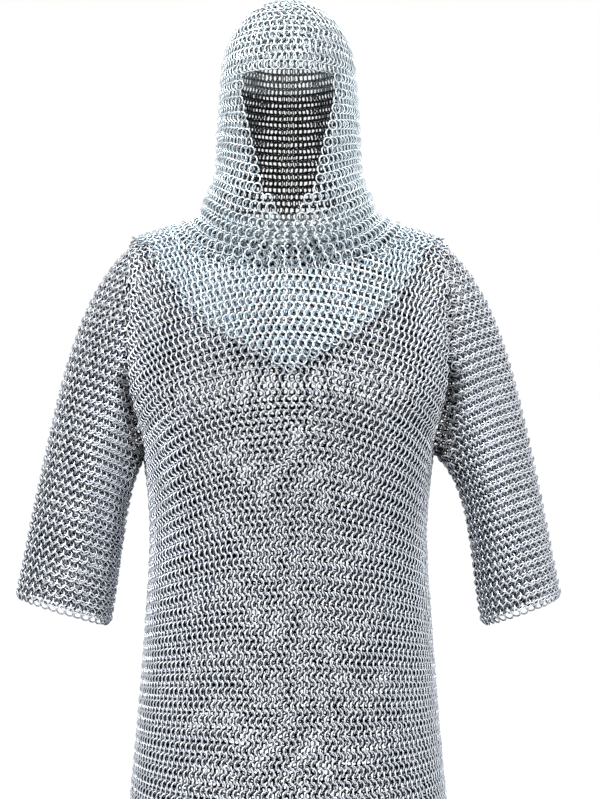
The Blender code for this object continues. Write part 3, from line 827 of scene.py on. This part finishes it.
def makeZinc(name, look):
    material = bpy.data.materials.new(name)
    material.use_nodes = True
    nodes = material.node_tree.nodes
    wires = material.node_tree.links
    shader = nodes["Principled BSDF"]
    shader.inputs["Metallic"].default_value = 1.0
    shader.inputs["Specular Tint"].default_value = (*[finishAndShade["edgeTint"]] * 3, 1)

    def attribute(title):
        node = nodes.new("ShaderNodeAttribute")
        node.attribute_name = title
        return node.outputs["Fac"]

    def ranged(value, fromLow, fromHigh, toLow, toHigh, kind="LINEAR"):
        node = nodes.new("ShaderNodeMapRange")
        node.interpolation_type = kind
        node.inputs["From Min"].default_value = fromLow
        node.inputs["From Max"].default_value = fromHigh
        node.inputs["To Min"].default_value = toLow
        node.inputs["To Max"].default_value = toHigh
        wires.new(value, node.inputs["Value"])
        return node.outputs["Result"]

    def times(first, second):
        node = nodes.new("ShaderNodeMath")
        node.operation = "MULTIPLY"
        wires.new(first, node.inputs[0])
        wires.new(second, node.inputs[1])
        return node.outputs[0]

    place = nodes.new("ShaderNodeTexCoord")
    cloud = nodes.new("ShaderNodeTexNoise")
    cloud.inputs["Scale"].default_value = finishAndShade["spangleSize"]
    wires.new(place.outputs["Object"], cloud.inputs["Vector"])

    # painted shade: the outward side of the wire stays bright, the side turned to the body is
    # painted dark
    litSide = ranged(attribute("wireFacing"), look["facingFrom"], finishAndShade["facingTo"],
                    0, 1, "SMOOTHSTEP")
    # painted shade low down between the links, deeper where the wire sits lower
    recessLight = ranged(attribute("wireHeight"), finishAndShade["lowHeight"], finishAndShade["highHeight"],
                   look["lowShare"], 1, "SMOOTHSTEP")
    # painted shade in the fold under each arm
    armpitLight = ranged(attribute("inArmpitShade"), 0, 1, 1, armpitShadow["armpitLitShare"], "SMOOTHSTEP")
    paintedLight = times(times(litSide, recessLight), armpitLight)
    tone = ranged(attribute("linkTone"), 0, 1, 1 - finishAndShade["toneSpread"], 1 + finishAndShade["toneSpread"])
    spangle = ranged(cloud.outputs["Fac"], finishAndShade["spangleFrom"], finishAndShade["spangleTo"],
                     finishAndShade["spangleDark"], finishAndShade["spangleBright"])
    # the ramp runs from the painted shade on the inner side to the zinc's lit colour
    ramp = nodes.new("ShaderNodeValToRGB")
    ramp.color_ramp.elements[0].color = (*[c * look["shadedSide"] for c in look["tint"]], 1)
    ramp.color_ramp.elements[1].color = (*[c * look["litSide"] for c in look["tint"]], 1)
    wires.new(times(paintedLight, times(tone, spangle)), ramp.inputs["Fac"])
    wires.new(ramp.outputs["Color"], shader.inputs["Base Color"])
    rough = ranged(paintedLight, 0, 1, finishAndShade["dullRough"], finishAndShade["rough"])
    wires.new(rough, shader.inputs["Roughness"])
    return material


# Where the mail bends: the shoulders and the upper sleeves as an arm is raised, and the
# neck as the hood turns
bend = dict(shoulder=0.184, armholeLean=0.06, underArm={1: 0.236, -1: 0.218},
            neckLow=0.010, neckHigh=0.048)


# For each piece that bends, its two bodies and the two points between which it does
def findCrossings():
    found = {}
    for word, side in (("left", 1), ("right", -1)):
        reach = bend["underArm"][side] - bend["shoulder"]
        start = (side * bend["shoulder"], 0, 0)
        end = (side * (bend["shoulder"] + reach), 0, -bend["armholeLean"] * reach)
        for part in ("shoulder_cap", "gusset", "upper_sleeve"):
            found[f"{word}_{part}"] = ("shirt", f"{word}_sleeve", start, end)
    low, high = (0, 0, bend["neckLow"]), (0, 0, bend["neckHigh"])
    for name in ("collar", "left_throat", "right_throat", "neck_back", "throat_edge"):
        found[name] = ("coif_mantle", "coif_hood", low, high)
    return found


print("laying the links")
layTorso()
layYoke()
for side in (1, -1):
    laySleeve(side)
layCrown()
layHood()
layCollar()
layMantle()
print("links:", sum(len(links) for links in laid.values()))
for name in sorted(laid):
    print("  ", name, len(laid[name]))
print("nodes with no links:", sorted(set(frame["nodes"]) - set(laid)))

print("making the pieces")
linkShape = makeLinkShape()
materials = {name: makeZinc("zinc_links_" + name, look) for name, look in zincLooks.items()}
bodies = frame["record"]["behaviour"]["bodies"]
bodyOf = {name: body for body, names in bodies.items() for name in names}
coifNodes = {*bodies["coif_mantle"], *bodies["coif_hood"]}
crossing = findCrossings()
for name in sorted(laid):
    pieceCount = math.ceil(len(laid[name]) / link["mostInPiece"])
    for number, links in enumerate(np.array_split(np.array(laid[name]), pieceCount), start=1):
        piece = makePiece(name if number == 1 else f"{name}_{number}", links, linkShape)
        zinc = zincOf.get(name, "coif" if name in coifNodes else "shirt")
        piece.data.materials.append(materials[zinc])
        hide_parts(name)
        if name in crossing:
            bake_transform(piece)
        else:
            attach(piece, bodyOf[name])

studio = dict(
    floor=-0.86, floorSize=60, floorRough=0.9,
    floorGlow=0.76, floorColour=0.5, floorBounce=0.8,  # as the camera sees it, and as light does
    worldLight=0.5,
    lampAim=(0, 0, -0.25),
    lamps=[("key", (-1.5, -2.1, 1.8), 1.6, 62), ("fill", (2.2, -1.8, 0.4), 1.8, 14),
           ("top", (0.0, -0.5, 2.2), 1.4, 26), ("back", (0.6, 2.2, 1.6), 1.8, 40)],
    camera=(0.0134, -2.3, -0.33), aim=(0.0134, 0.0, -0.1925), frameHeight=0.935, sensor=36,
)


# White to the camera and in reflections, dimmer as a light
def makeWorld():
    world = bpy.data.worlds.new("studio")
    bpy.context.scene.world = world
    world.use_nodes = True
    nodes = world.node_tree.nodes
    wires = world.node_tree.links
    path = nodes.new("ShaderNodeLightPath")
    seen = path.outputs["Is Camera Ray"]
    for kind in ("Is Glossy Ray", "Is Transmission Ray"):
        either = nodes.new("ShaderNodeMath")
        either.operation = "MAXIMUM"
        wires.new(seen, either.inputs[0])
        wires.new(path.outputs[kind], either.inputs[1])
        seen = either.outputs[0]
    strength = nodes.new("ShaderNodeMapRange")
    strength.inputs["To Min"].default_value = studio["worldLight"]
    strength.inputs["To Max"].default_value = 1.0
    wires.new(seen, strength.inputs["Value"])
    wires.new(strength.outputs["Result"], nodes["Background"].inputs["Strength"])
    nodes["Background"].inputs["Color"].default_value = (1, 1, 1, 1)


def hangLamps():
    for name, spot, size, power in studio["lamps"]:
        lamp = bpy.data.lights.new(name, "AREA")
        lamp.size = size
        lamp.energy = power
        holder = bpy.data.objects.new(name, lamp)
        holder.location = spot
        away = Vector(studio["lampAim"]) - Vector(spot)
        holder.rotation_euler = away.to_track_quat("-Z", "Y").to_euler()
        bpy.context.scene.collection.objects.link(holder)


# The floor glows to the camera alone, so that it stays as pale as the background
def makeFloor():
    bpy.ops.mesh.primitive_plane_add(size=studio["floorSize"], location=(0, 0, studio["floor"]))
    floor = bpy.context.object
    floor.name = "studio_floor"
    material = bpy.data.materials.new("pale_floor")
    material.use_nodes = True
    nodes = material.node_tree.nodes
    wires = material.node_tree.links
    matt = nodes["Principled BSDF"]
    matt.inputs["Roughness"].default_value = studio["floorRough"]
    path = nodes.new("ShaderNodeLightPath")
    pale = nodes.new("ShaderNodeMix")
    pale.data_type = "RGBA"
    pale.inputs["A"].default_value = (*[studio["floorBounce"]] * 3, 1)
    pale.inputs["B"].default_value = (*[studio["floorColour"]] * 3, 1)
    wires.new(path.outputs["Is Camera Ray"], pale.inputs["Factor"])
    wires.new(pale.outputs["Result"], matt.inputs["Base Color"])
    glow = nodes.new("ShaderNodeMath")
    glow.operation = "MULTIPLY"
    glow.inputs[1].default_value = studio["floorGlow"]
    wires.new(path.outputs["Is Camera Ray"], glow.inputs[0])
    matt.inputs["Emission Color"].default_value = (1, 1, 1, 1)
    wires.new(glow.outputs[0], matt.inputs["Emission Strength"])
    floor.data.materials.append(material)


def placeCamera():
    camera = bpy.data.cameras.new("photo_camera")
    holder = bpy.data.objects.new("photo_camera", camera)
    holder.location = studio["camera"]
    away = Vector(studio["aim"]) - Vector(studio["camera"])
    holder.rotation_euler = away.to_track_quat("-Z", "Y").to_euler()
    camera.sensor_width = studio["sensor"]
    camera.lens = studio["sensor"] * away.length / studio["frameHeight"]
    bpy.context.scene.collection.objects.link(holder)
    bpy.context.scene.camera = holder


print("lighting the studio")
makeWorld()
hangLamps()
makeFloor()
placeCamera()
bpy.context.scene.view_settings.view_transform = "Standard"
